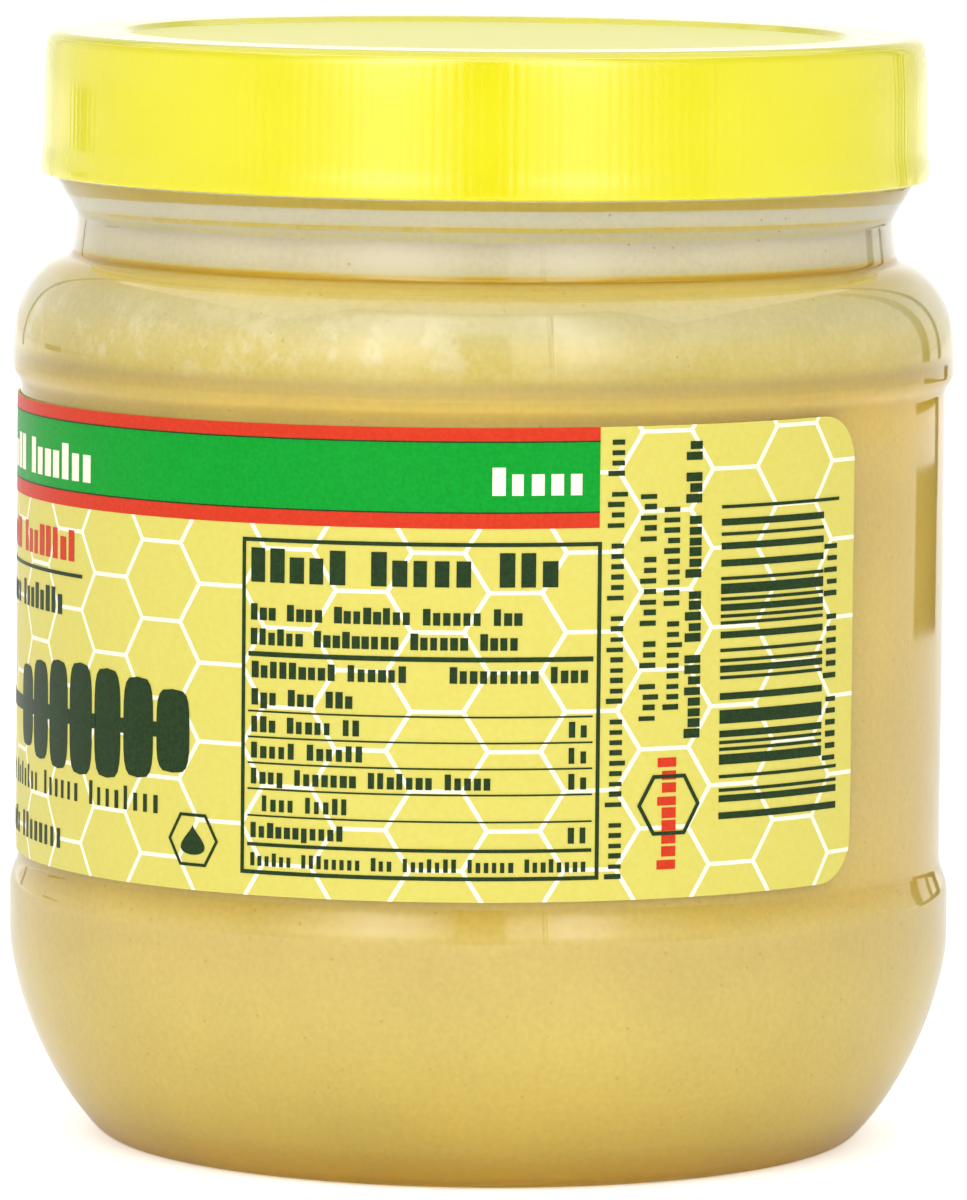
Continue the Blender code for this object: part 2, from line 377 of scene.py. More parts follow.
def printing_ink(name, low, high):
    """Offset ink on coated paper: thin, even, a little glossier than the sheet, with a faint dot mottle."""
    mat, tree, shader, place = new_material(name)
    body = blotched(tree, place, INK_DOTS, 2.0, (low, high), (0.35, 0.65))
    gloss = wander(tree, place, INK_SHEEN, 2.0, (0.34, 0.42))
    dress(tree, shader, {"Specular IOR Level": 0.1}, {"Base Color": body, "Roughness": gloss})
    return mat


# Overexposed backdrop: extra radiance for the camera, for soft light, and behind the jar for gloss. The
# last goes by (1 - cos azimuth) / 2 and grows from one distance to the other in metres
FLOOR_LIFT = 0.45
FLOOR_GLOW = 1.0
FLOOR_GLARE = ((0.5, 0.0), (0.72, 0.1), (0.79, 0.3), (0.88, 0.5), (0.93, 0.6), (1.0, 0.55))
FLOOR_GLARE_FROM = (0.3, 0.9)


def seamless_floor():
    """Seamless paper backdrop: matt white, overexposed, so gloss sees it glare behind the jar."""
    mat, tree, shader, place = new_material("seamless_backdrop_paper")
    body = blotched(tree, place, BACKDROP_HAZE, 3.0, ("FAFAF9", "FBFBFA"))
    ray = add(tree, "ShaderNodeLightPath").outputs
    away = add(tree, "ShaderNodeVectorMath", {"operation": "NORMALIZE"}, {0: place})
    back = add(tree, "ShaderNodeSeparateXYZ", {}, {0: away}).outputs["Y"]
    turn = add(tree, "ShaderNodeMapRange", {"From Min": -1.0}, {"Value": back})
    glare = add(tree, "ShaderNodeValToRGB", {"stops": FLOOR_GLARE}, {"Fac": turn})
    near, far = FLOOR_GLARE_FROM
    distance = add(tree, "ShaderNodeSeparateXYZ", {}, {0: place}).outputs["Y"]
    depth = add(tree, "ShaderNodeMapRange", {"From Min": near, "From Max": far}, {"Value": distance})
    glare = add(tree, "ShaderNodeMath", {"operation": "MULTIPLY"}, {0: glare, 1: depth})
    lift = add(tree, "ShaderNodeMath", {"operation": "MULTIPLY", 1: FLOOR_LIFT}, {0: ray["Is Camera Ray"]})
    lift = add(tree, "ShaderNodeMath", {"operation": "MULTIPLY_ADD", 1: FLOOR_GLOW},
               {0: ray["Is Diffuse Ray"], 2: lift})
    lift = add(tree, "ShaderNodeMath", {"operation": "MULTIPLY_ADD"},
               {0: ray["Is Glossy Ray"], 1: glare, 2: lift})
    dress(tree, shader, {"Roughness": 0.8, "Specular IOR Level": 0.2, "Emission Color": (1, 1, 1, 1)},
          {"Base Color": body, "Emission Strength": lift})
    return mat


def matt_black():
    """Black felt of the studio's flags: it gives nothing back."""
    mat, tree, shader, place = new_material("black_felt")
    body = blotched(tree, place, FELT_TUFTS, 2.0, ("050505", "0A0A0A"))
    dress(tree, shader, {"Roughness": 1.0, "Specular IOR Level": 0.0}, {"Base Color": body})
    return mat


def arc(centre, radii, start, end, steps):
    """Ellipse stretch: r = rc + a cos s, z = zc + b sin s, with s from start to end degrees."""
    s = np.radians(np.linspace(start, end, steps + 1))
    return np.stack([centre[0] + radii[0] * np.cos(s), centre[1] + radii[1] * np.sin(s)], 1)


def straight(start, end, steps):
    """Straight stretch: start + (end - start) s, with s from 0 to 1."""
    s = np.linspace(0, 1, steps + 1)[:, None]
    return np.array(start) * (1 - s) + np.array(end) * s


def bezier(corners, steps):
    """Cubic curve: the four corners weighted by (1-s)^3, 3s(1-s)^2, 3s^2(1-s) and s^3."""
    s = np.linspace(0, 1, steps + 1)[:, None]
    a, b, c, d = (np.array(corner) for corner in corners)
    return a * (1 - s) ** 3 + b * 3 * s * (1 - s) ** 2 + c * 3 * s * s * (1 - s) + d * s**3


def ogee(start, end, steps):
    """Soft step: z falls evenly while r follows half a cosine from start to end."""
    s = np.linspace(0, 1, steps + 1)
    ease = (1 - np.cos(np.pi * s)) / 2
    return np.stack([start[0] + (end[0] - start[0]) * ease, start[1] + (end[1] - start[1]) * s], 1)


def chain(*stretches):
    """The stretches one after another, without the points that repeat where they meet."""
    outline = np.concatenate([np.atleast_2d(stretch) for stretch in stretches])
    step = np.linalg.norm(np.diff(outline, axis=0), axis=1)
    return outline[np.concatenate([[True], step > 1e-6])]


def inset(outline, depth):
    """The outline moved to its inner side: each point by depth times the normal (fall, -run) / length."""
    run, fall = np.gradient(outline, axis=0).T
    length = np.hypot(run, fall)
    return outline + depth * np.stack([fall / length, -run / length], 1)


def mesh_object(name, points, quads, triangles=()):
    """A mesh object at the origin from points in metres and arrays of faces."""
    loops = [np.asarray(quads).reshape(-1)]
    sizes = [np.full(len(quads), 4)]
    if len(triangles):
        loops.append(np.asarray(triangles).reshape(-1))
        sizes.append(np.full(len(triangles), 3))
    loops = np.concatenate(loops)
    sizes = np.concatenate(sizes)
    mesh = bpy.data.meshes.new(name)
    mesh.vertices.add(len(points))
    mesh.vertices.foreach_set("co", np.ascontiguousarray(points, np.float32).reshape(-1))
    mesh.loops.add(len(loops))
    mesh.loops.foreach_set("vertex_index", loops.astype(np.int32))
    mesh.polygons.add(len(sizes))
    mesh.polygons.foreach_set("loop_start", (np.cumsum(sizes) - sizes).astype(np.int32))
    mesh.update(calc_edges=True)
    mesh.validate()
    obj = bpy.data.objects.new(name, mesh)
    bpy.context.scene.collection.objects.link(obj)
    return obj


def grid_quads(rows, columns):
    """The quads of a grid of points that are numbered row by row."""
    here = np.arange(rows * columns).reshape(rows, columns)
    return np.stack([here[:-1, :-1], here[:-1, 1:], here[1:, 1:], here[1:, :-1]], -1).reshape(-1, 4)


def smooth(obj):
    """Smooth shading that stays crisp at edges sharper than CRISP_EDGE."""
    obj.data.shade_smooth()
    obj.data.set_sharp_from_angle(angle=CRISP_EDGE)
    return obj


def turned(name, outline, turns, relief=0.0):
    """Closed lathe surface: x = r sin t, y = -r cos t, z = h, where r = outline radius + relief(h, t).

    The outline is in mm and runs from the axis down the outer side back to the axis.
    """
    radius = outline[:, :1] + relief + 0 * turns[None, :]
    height = outline[:, 1:] + 0 * turns[None, :]
    ring = np.stack([radius * np.sin(turns), -radius * np.cos(turns), height], -1)[1:-1]
    rows, columns = ring.shape[:2]
    poles = np.array([[0, 0, outline[0, 1]], [0, 0, outline[-1, 1]]])
    points = np.concatenate([ring.reshape(-1, 3), poles]) * MM
    here = np.arange(rows * columns).reshape(rows, columns)
    beside = np.roll(here, -1, axis=1)
    quads = np.stack([here[:-1], here[1:], beside[1:], beside[:-1]], -1).reshape(-1, 4)
    first = np.full(columns, rows * columns)
    fans = [np.stack([first, here[0], beside[0]], -1), np.stack([here[-1], first + 1, beside[-1]], -1)]
    return smooth(mesh_object(name, points, quads, np.concatenate(fans)))


def thread(heights, turns, start, size):
    """Height in mm of a round thread over a wall: sqrt(s^2 - (z - helix)^2), with s tapered at both ends."""
    ridge = np.zeros((len(heights), len(turns)))
    end = 2 * np.pi * THREAD_TURNS
    for lap in (0, 1):
        angle = (turns - np.pi / 2) % (2 * np.pi) + 2 * np.pi * lap
        share = np.clip(angle / end, 0, 1)
        taper = THREAD_TIP + (1 - THREAD_TIP) * np.minimum(share, 1 - share) / THREAD_RUN_OUT
        reach = size * np.minimum(1, taper) * (angle <= end)
        helix = start + THREAD_PITCH * angle / (2 * np.pi)
        away = heights[:, None] - helix[None, :]
        ridge = np.maximum(ridge, np.sqrt(np.maximum(0, reach[None, :] ** 2 - away**2)))
    return ridge


def body_side():
    """The jar's outer side from the foot of the neck to the end of the heel."""
    reach = RING_RADIUS - SHOULDER_CENTRE[0]
    heel = (STANDING_RING[0], HEEL_ROUND)
    return chain(
        arc(SHOULDER_CENTRE, (reach, SHOULDER_RISE), SHOULDER_START, 0, 26),
        ogee((RING_RADIUS, UPPER_STEP[0]), (PANEL_RADIUS, UPPER_STEP[1]), 10),
        straight((PANEL_RADIUS, UPPER_STEP[1]), (PANEL_RADIUS, LOWER_STEP[0]), 24),
        ogee((PANEL_RADIUS, LOWER_STEP[0]), (RING_RADIUS, LOWER_STEP[1]), 10),
        bezier(BOWL, 26),
        arc(heel, (HEEL_ROUND, HEEL_ROUND), -HEEL_TURN, -90, 8)[1:],
    )


def neck_side():
    """The outer side of the neck from under the lid down to a fillet that runs into the shoulder."""
    waist = (NECK_RADIUS - NECK_SWELL, NECK_TOP)
    below_cone = (CONE_FOOT[0] - 0.25, CONE_FOOT[1] - 0.45)
    above_waist = (waist[0], waist[1] + 0.35)
    below_waist = (waist[0] + 0.06, waist[1] - 0.7)
    foot = (NECK_FOOT_RADIUS, FILLET_HEIGHT)
    above_foot = (foot[0] - 0.1, foot[1] + 0.8)
    fillet = (foot[0] + NECK_FILLET, foot[1])
    return chain(
        (FINISH_RADIUS, BEAD_TOP - BEAD_ROUND / 2),
        arc((BEAD_RADIUS - BEAD_ROUND, BEAD_TOP - BEAD_ROUND), (BEAD_ROUND, BEAD_ROUND), 90, 0, 4),
        straight((BEAD_RADIUS, BEAD_TOP - BEAD_BAND), CONE_FOOT, 6),
        bezier((CONE_FOOT, below_cone, above_waist, waist), 5),
        bezier((waist, below_waist, above_foot, foot), 7),
        arc(fillet, (NECK_FILLET, NECK_FILLET), 180, FILLET_END, 8),
    )


def jar_shell(material):
    """PET shell: inner floor, up the bore, over the rim, down thread, neck, rings and bowl to the push-up.

    Outside, a parting line stands h exp(-(s / w)^2) proud on either side, where s is the length away from
    it, and the wall sways by sin(5t + z / 2.9) sin(z / 2.1 + 1) + sin(11t - z / 4.3), scaled to SWAY.
    """
    side = body_side()
    inner = inset(side, WALL)[::-1]
    inside = chain((0, PUSH_UP + WALL), (STANDING_RING[1] - WALL, inner[0, 1]), inner,
                   straight((BORE_RADIUS, NECK_BOTTOM - WALL), (BORE_RADIUS, JAR_TOP), 16))
    finish = straight((FINISH_RADIUS, JAR_TOP), (FINISH_RADIUS, BEAD_TOP + BEAD_ROUND / 2), 44)
    outside = chain(finish, neck_side(), side[1:], (STANDING_RING[1], 0), (0, PUSH_UP))
    outline = np.concatenate([inside, outside])
    even = np.linspace(0, 2 * np.pi, JAR_COLUMNS, endpoint=False)
    fine = np.radians(np.linspace(-PARTING_SPAN, PARTING_SPAN, 25))
    seams = [math.radians(PARTING_AT), math.radians(PARTING_AT) + np.pi]
    turns = np.unique(np.concatenate([even] + [seam + fine for seam in seams]))
    outer = (np.arange(len(outline)) >= len(inside) + 1)[:, None]
    outer = outer & (outline[:, 1:] > RELIEF_FOOT)
    relief = np.zeros((len(outline), len(turns)))
    for seam in seams:
        away = (turns - seam) * RING_RADIUS / PARTING_WIDTH
        relief += outer * PARTING_HEIGHT * np.exp(-(away**2))[None, :]
    z = outline[:, 1:]
    swell = np.sin(5 * turns + z / 2.9) * np.sin(z / 2.1 + 1.0) + np.sin(11 * turns - z / 4.3)
    relief += np.where(outer, SWAY * (swell - 2) / 2, 0)
    on_finish = (outline[:, 0] > FINISH_RADIUS - 0.1) & (outline[:, 1] > BEAD_TOP + 1) & outer[:, 0]
    ridge = thread(outline[:, 1], turns, JAR_THREAD_START, JAR_THREAD_ROUND)
    relief += on_finish[:, None] * ridge
    obj = turned("jar_shell", outline, turns, relief)
    obj.data.materials.append(material)
    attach(obj, "root")
    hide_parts("jar")
    return obj


def honey_fill(material):
    """Honey: the inner wall's outline moved HONEY_BITE into the wall, closed by the level on top."""
    side = inset(body_side(), WALL - HONEY_BITE)
    radius = BORE_RADIUS + HONEY_BITE
    outline = chain(
        straight((0, HONEY_LEVEL), (radius, HONEY_LEVEL), 6),
        straight((radius, HONEY_LEVEL), (radius, NECK_BOTTOM - WALL), 12),
        side[side[:, 1] < NECK_BOTTOM - WALL - 0.1],
        (STANDING_RING[1] - WALL + HONEY_BITE, side[-1, 1]),
        (0, PUSH_UP + WALL - HONEY_BITE),
    )
    turns = np.linspace(0, 2 * np.pi, JAR_COLUMNS, endpoint=False)
    obj = turned("honey_fill", outline, turns)
    obj.data.materials.append(material)
    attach(obj, "root")
    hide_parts("honey")
    return obj


def screw_lid(material):
    """Lid: recessed disc, rounded edge, skirt with ribs r = R - d ((1 - cos 260 t) / 2)^n, hem and bore."""
    ceiling = LID_HIGH - RECESS_DEPTH - LID_PANEL
    edge = (LID_RADIUS - LID_EDGE_ROUND, LID_HIGH - LID_EDGE_ROUND)
    rib_top = LID_HIGH - RIB_TOP_MARGIN
    rib_foot = LID_LOW + RIB_FOOT_MARGIN
    floor = LID_HIGH - RECESS_DEPTH
    foot, foot_round = RECESS_RADIUS - RECESS_FOOT[0], RECESS_FOOT[1]
    lip, lip_round = RECESS_RADIUS + RECESS_LIP[0], RECESS_LIP[1]
    outline = chain(
        straight((0, floor), (foot, floor), 2),
        arc((foot, floor + foot_round), (foot_round, foot_round), 270, 315, 2),
        arc((lip, LID_HIGH - lip_round), (lip_round, lip_round), 135, 90, 2),
        arc(edge, (LID_EDGE_ROUND, LID_EDGE_ROUND), 90, 0, 9),
        bezier(((LID_RADIUS, edge[1]), *LID_WALL), 6),
        straight(LID_WALL[-1], (LID_FOOT_RADIUS, LID_LOW + LID_HEM_HEIGHT), 2),
        ogee((LID_FOOT_RADIUS, LID_LOW + LID_HEM_HEIGHT), (LID_HEM_RADIUS, rib_foot + RIB_FOOT_FADE), 4),
        straight((LID_HEM_RADIUS, rib_foot), (LID_HEM_RADIUS, LID_LOW + LID_HEM_ROUND), 1),
        (LID_HEM_RADIUS - LID_HEM_ROUND, LID_LOW),
        straight((LID_BORE, LID_LOW), (LID_BORE, ceiling), 14),
        (0, ceiling),
    )
    turns = np.linspace(0, 2 * np.pi, RIBS * RIB_SAMPLES, endpoint=False)
    z = outline[:, 1]
    skirt = outline[:, 0] > LID_RADIUS - 0.35
    fade = skirt * np.clip((rib_top - z) / RIB_TOP_FADE, 0, 1) * np.clip((z - rib_foot) / RIB_FOOT_FADE, 0, 1)
    uneven = 1 + RIB_UNEVEN * np.random.default_rng(3).uniform(-1, 1, RIBS).repeat(RIB_SAMPLES)
    groove = RIB_DEPTH * uneven * ((1 - np.cos(RIBS * turns)) / 2) ** RIB_SHARPNESS
    relief = -fade[:, None] * groove[None, :]
    bore = np.abs(outline[:, 0] - LID_BORE) < 0.01
    ridge = thread(z, turns, JAR_THREAD_START - THREAD_PITCH / 2, LID_THREAD_ROUND)
    relief -= bore[:, None] * ridge
    obj = turned("screw_lid", outline, turns, relief)
    obj.data.materials.append(material)
    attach(obj, "root")
    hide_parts("lid")
    return obj


def bars(rects):
    """Flat rectangles (left, right, low, high) cut into quads no wider than LONGEST_QUAD."""
    quads = []
    for left, right, low, high in rects:
        cuts = np.linspace(left, right, max(1, math.ceil((right - left) / LONGEST_QUAD)) + 1)
        a, b = cuts[:-1], cuts[1:]
        low_row, high_row = np.full_like(a, low), np.full_like(a, high)
        quads.append(np.stack([a, low_row, b, low_row, b, high_row, a, high_row], -1).reshape(-1, 4, 2))
    return np.concatenate(quads)


def blob(centre, half_width, half_height):
    """Squarish round patch |x/w|^4 + |y/h|^4 = 1 as a stack of 12 bands, each two or more quads wide."""
    y = np.sin(np.linspace(-np.pi / 2, np.pi / 2, 13))
    reach = np.maximum((1 - np.abs(y) ** 4.0) ** (1 / 4.0), 0.02)
    columns = max(2, math.ceil(2 * half_width / LONGEST_QUAD))
    across = np.linspace(-1, 1, columns + 1)
    x = centre[0] + half_width * reach[:, None] * across[None, :]
    y = centre[1] + half_height * y[:, None] + 0 * across[None, :]
    grid = np.stack([x, y], -1)
    return np.stack([grid[:-1, :-1], grid[:-1, 1:], grid[1:, 1:], grid[1:, :-1]], 2).reshape(-1, 4, 2)


def hexagon(centre, width, height, edge):
    """The six corners, counter-clockwise, of a hexagon with level top and bottom edges."""
    half = np.array([[edge, -height], [width, 0], [edge, height], [-edge, height], [-width, 0],
                     [-edge, -height]]) / 2
    return half + np.array(centre)


def ring(corners, inward, pieces=3):
    """The band between a polygon and its smaller copy, shrunk by the share inward, in quads."""
    middle = corners.mean(0)
    s = np.linspace(0, 1, pieces + 1)[None, :, None]
    outer = corners[:, None] * (1 - s) + np.roll(corners, -1, 0)[:, None] * s
    inner = middle + (outer - middle) * (1 - inward)
    return np.stack([outer[:, :-1], outer[:, 1:], inner[:, 1:], inner[:, :-1]], 2).reshape(-1, 4, 2)


# Honeycomb of the label
CELL_PITCH = 6.08
CELL_HEIGHT = 6.25
CELL_EDGE = 4.15
CELL_START = (-27.7, 1.4)
CELL_LINE = 0.33
CELL_ROWS = (3, 11)


def honeycomb():
    """Off-white lines: a ring for each cell; column k stands at u0 + k pitch, odd ones half a cell up."""
    first = math.floor((LABEL_U[0] - CELL_START[0]) / CELL_PITCH)
    last = math.ceil((LABEL_U[1] - CELL_START[0]) / CELL_PITCH)
    width = 2 * CELL_PITCH - CELL_EDGE
    cells = []
    for k in range(first, last + 1):
        for m in range(*CELL_ROWS):
            middle = CELL_START[1] + CELL_HEIGHT * (m + 0.5 + 0.5 * (k % 2))
            corners = hexagon((CELL_START[0] + CELL_PITCH * k, middle), width, CELL_HEIGHT, CELL_EDGE)
            cells.append(ring(corners, CELL_LINE / CELL_HEIGHT))
    return np.concatenate(cells)


# Small print as blocks: pitch and heights as shares of the line's height, widths as shares of the pitch
BLOCK_PITCH = 0.6
BLOCK_WIDTHS = (0.56, 0.7)
LOW_BLOCK = 0.76
TALL_SHARE = 0.2
DROP_SHARE = 0.05
DROP_DEPTH = 0.2


def print_line(left, right, base, height, seed, weight=1.0):
    """A line of small print as blocks: groups of 3 to 9 on one base line, each led by a tall one."""
    draw = np.random.default_rng(seed)
    pitch = BLOCK_PITCH * height
    count = max(2, int((right - left) / pitch))
    slots = np.arange(count)
    breaks = np.cumsum(draw.integers(4, 11, count)) - 1
    inked = ~np.isin(slots, breaks[breaks < count - 2])
    start = left + slots * (right - left) / count
    width = pitch * draw.uniform(*BLOCK_WIDTHS, count) * weight
    led = np.isin(slots, breaks + 1) | (slots == 0) | (draw.random(count) < TALL_SHARE)
    top = base + height * np.where(led, 1.0, LOW_BLOCK)
    foot = base - height * np.where(~led & (draw.random(count) < DROP_SHARE), DROP_DEPTH, 0.0)
    rects = np.stack([start, np.minimum(start + width, right), foot, top], 1)[inked]
    return bars(rects)


def upright(quads, edge):
    """Print turned to read upwards: (along, up) becomes (edge - up, along)."""
    return np.stack([edge - quads[..., 1], quads[..., 0]], -1)


# Bands of the label: red, green, red with dark hair lines, ending short of the paper's end
BAND_END = 9.3
BAND_EDGES = (61.3, 60.15, 60.03, 54.6, 54.48, 53.3)


def green_ink():
    """The broad green band."""
    return bars([(LABEL_U[0] - 1, BAND_END, BAND_EDGES[3], BAND_EDGES[2])])


# Red print: a level line (left, right, base, height, seed, weight), an upright one and a drop's foot and size
RED_LINE = (-76.0, -38.5, 48.9, 2.5, 11, 1.1)
RED_UPRIGHT = (26.2, 35.3, 0.0, 1.6, 12, 1.3)
RED_UPRIGHT_EDGE = 15.9
RED_DROP = ((-63.0, 27.6), 2.4)


def red_ink():
    """The two narrow red bands, a row of red blocks, an upright one in the badge, and a little drop."""
    top, low = (BAND_EDGES[1], BAND_EDGES[0]), (BAND_EDGES[5], BAND_EDGES[4])
    rects = [(LABEL_U[0] - 1, BAND_END, *top), (LABEL_U[0] - 1, BAND_END, *low)]
    column = upright(print_line(*RED_UPRIGHT), RED_UPRIGHT_EDGE)
    return np.concatenate([bars(rects), print_line(*RED_LINE), column, drop(*RED_DROP)])


def drop(foot, size):
    """A honey drop: a round foot whose half width w sin(s) (1 + cos s) / 1.3 closes to a tip at the top."""
    s = np.linspace(0.12, np.pi - 0.12, 15)
    width = size * 0.5 * np.sin(s) * (1 + np.cos(s)) / 1.3
    height = foot[1] + size * (1 - np.cos(s)) / 2
    across = np.array([-1.0, 0.0, 1.0])
    grid = np.stack([foot[0] + width[:, None] * across, height[:, None] + 0 * across], -1)
    return np.stack([grid[:-1, :-1], grid[:-1, 1:], grid[1:, 1:], grid[1:, :-1]], 2).reshape(-1, 4, 2)


# Framed table: left, right, low, high, then its lines and their print (left, right, base, height, weight)
TABLE = (-19.6, 9.5, 25.6, 52.2)
TABLE_LINE = 0.32
TABLE_MARGIN = 0.6
THICK_RULES = ((42.83, 43.22), (27.82, 28.1))
HAIR_RULES = (38.5, 36.46, 34.41, 32.36, 30.24)
HAIR_RULE = 0.14
TABLE_HEADING = (-18.8, 6.5, 48.7, 2.7, 24, 1.15)
TABLE_ROWS = (
    (-18.8, 3.4, 45.7, 1.3, 1.2), (-18.8, 3.1, 43.75, 1.3, 1.2), (-18.7, -5.6, 41.15, 1.3, 1.2),
    (-2.4, 8.7, 41.15, 1.3, 1.2), (-18.7, -9.9, 39.0, 1.3, 1.1), (-18.7, -9.3, 36.85, 1.25, 1.1),
    (-18.7, -9.0, 34.8, 1.25, 1.1), (-18.7, 1.1, 32.75, 1.25, 1.1), (-17.7, -10.2, 30.6, 1.25, 0.9),
    (-18.7, -10.6, 28.5, 1.2, 1.1), (-18.7, 8.7, 26.25, 1.05, 0.9),
)
TABLE_SEED = 30

# Column of shares at the table's right: left, right, then the bases of its rows
SHARE_COLUMN = (7.0, 8.9)
SHARE_BASES = (36.85, 34.8, 32.75, 28.5)
SHARE_HEIGHT = 1.25
SHARE_SEED = 50


def table_print():
    """The framed table: frame, heading, rows of blocks, hair rules between them and two thick rules."""
    left, right, low, high = TABLE
    line = TABLE_LINE
    inside = (left + TABLE_MARGIN, right - TABLE_MARGIN)
    parts = [bars([
        (left, right, high - line, high), (left, right, low, low + line),
        (left, left + line, low + line, high - line), (right - line, right, low + line, high - line),
    ])]
    parts.append(bars([(*inside, *rule) for rule in THICK_RULES]))
    parts.append(bars([(*inside, rule - HAIR_RULE / 2, rule + HAIR_RULE / 2) for rule in HAIR_RULES]))
    parts.append(print_line(*TABLE_HEADING))
    for i, (start, end, base, height, weight) in enumerate(TABLE_ROWS):
        parts.append(print_line(start, end, base, height, TABLE_SEED + i, weight))
    for i, base in enumerate(SHARE_BASES):
        parts.append(print_line(*SHARE_COLUMN, base, SHARE_HEIGHT, SHARE_SEED + i))
    return np.concatenate(parts)


# Stack of stripes: the thinnest, the share of those one to four times as thick, and the long ones' zones
STRIPE = 0.27
STRIPE_SHARES = (0.5, 0.28, 0.14, 0.08)
LONG_STRIPES = (3.4, 1.8)


def stripe_stack(left, right, guard, low, high):
    """A stack of level stripes, seeded one to four times the thinnest, those at both ends longer."""
    draw = np.random.default_rng(7)
    widths = draw.choice([1, 2, 3, 4], 120, p=STRIPE_SHARES) * STRIPE
    edges = low + np.concatenate([[0], np.cumsum(widths)])
    edges = edges[edges < high]
    rects = []
    for i in range(0, len(edges) - 1, 2):
        long = edges[i] < low + LONG_STRIPES[0] or edges[i] > high - LONG_STRIPES[1]
        rects.append((left, guard if long else right, edges[i], edges[i + 1]))
    return bars(rects)


# Honey dipper: its axis, handle and discs; a disc takes this share of their pitch, the rest is groove
DIPPER_AXIS = 36.4
DIPPER_HANDLE = 1.2
DIPPER_DISCS = 7
DISC_SHARE = 0.9
DIPPER_TAPER = 0.62


def dipper(tip, head, height, handle_end):
    """A honey dipper lying level: upright discs whose heights follow an ellipse, and a straight handle."""
    pitch = head / DIPPER_DISCS
    parts = []
    for i in range(DIPPER_DISCS):
        place = (i + 0.5) / DIPPER_DISCS
        tall = height / 2 * math.sqrt(1 - (2 * place - 1) ** 2 * DIPPER_TAPER)
        parts.append(blob((tip - pitch * (i + 0.5), DIPPER_AXIS), pitch * DISC_SHARE / 2, tall))
    half = DIPPER_HANDLE / 2
    parts.append(bars([(handle_end, tip - 0.7, DIPPER_AXIS - half, DIPPER_AXIS + half)]))
    return parts


# Dark print. Dipper: tip, length of the head, its height, end of the handle. Hexagon badges: middle,
# width, height, level edge, line as a share. Lines: left, right, base, height, seed, weight, where the
# upright ones have no base but hang from an edge at the end. Paragraph: left, right, first base, spacing,
# rows, first seed
DIPPER = (-24.4, 27.0, 9.0, -101.0)
UNDERLINE = (-78.0, -37.7, 47.65, 47.95)
BADGES = (((-24.2, 27.9), 5.0, 4.2, 2.6, 0.12), ((15.3, 31.3), 5.4, 4.8, 2.8, 0.13))
DARK_DROP = ((-24.2, 26.7), 2.4)
STRIPES = (19.7, 30.1, 31.9, 29.9, 55.2)
LEVEL_LINES = (
    (-78.0, -40.6, 44.5, 2.1, 61, 1.0), (-62.0, -27.2, 29.7, 1.9, 62, 0.6),
    (-82.0, -40.6, 25.6, 2.1, 63, 0.8),
)
UPRIGHT_LINES = (
    (25.6, 60.6, 1.35, 64, 0.75, 11.3), (38.0, 56.3, 1.35, 65, 0.8, 14.0),
    (38.8, 55.2, 1.35, 66, 0.8, 16.0), (36.5, 60.1, 1.4, 67, 1.25, 17.9),
    (33.8, 51.6, 1.5, 68, 0.75, 31.7),
)
BACK_PARAGRAPH = (-126.0, -106.0, 50.0, 2.6, 9, 70)


def dark_ink():
    """All dark green print: hair lines of the bands, blocks of print, dipper, badges, table and stripes."""
    start, hair = LABEL_U[0] - 1, (BAND_EDGES[1], BAND_EDGES[2], BAND_EDGES[3], BAND_EDGES[4])
    parts = [bars([(start, BAND_END, hair[1], hair[0]), (start, BAND_END, hair[3], hair[2])])]
    parts += dipper(*DIPPER)
    parts.append(bars([UNDERLINE]))
    parts += [print_line(*line) for line in LEVEL_LINES]
    parts += [ring(hexagon(middle, *size), line) for middle, *size, line in BADGES]
    parts.append(drop(*DARK_DROP))
    for left, right, height, seed, weight, edge in UPRIGHT_LINES:
        parts.append(upright(print_line(left, right, 0.0, height, seed, weight), edge))
    left, right, top, spacing, rows, seed = BACK_PARAGRAPH
    for i in range(rows):
        parts.append(print_line(left, right, top - spacing * i, 1.25, seed + i, 0.9))
    parts.append(stripe_stack(*STRIPES))
    parts.append(table_print())
    return np.concatenate(parts)


# Off-white lines on the green band: left, right, base, height, seed, weight
WHITE_LINES = ((-98.0, -35.9, 55.4, 2.9, 81, 1.15), (0.8, 8.5, 55.9, 2.2, 84, 1.15))


def white_on_green():
    """Off-white blocks that stand on the green band."""
    return np.concatenate([print_line(*line) for line in WHITE_LINES])


def trim_to_label(bm):
    """Cut a flat sheet to the paper's outline: its four edges, and three tangents round each corner."""
    left, right = LABEL_U
    inner = (left + LABEL_CORNER, right - LABEL_CORNER, LABEL_BOTTOM + LABEL_CORNER, LABEL_TOP - LABEL_CORNER)
    for angle in np.radians(np.arange(0, 360, 18)):
        normal = Vector((math.cos(angle), math.sin(angle), 0))
        corner = Vector((inner[1] if normal.x > 0 else inner[0], inner[3] if normal.y > 0 else inner[2], 0))
        everything = bm.verts[:] + bm.edges[:] + bm.faces[:]
        bmesh.ops.bisect_plane(bm, geom=everything, dist=1e-6, plane_co=corner + normal * LABEL_CORNER,
                               plane_no=normal, clear_outer=True)


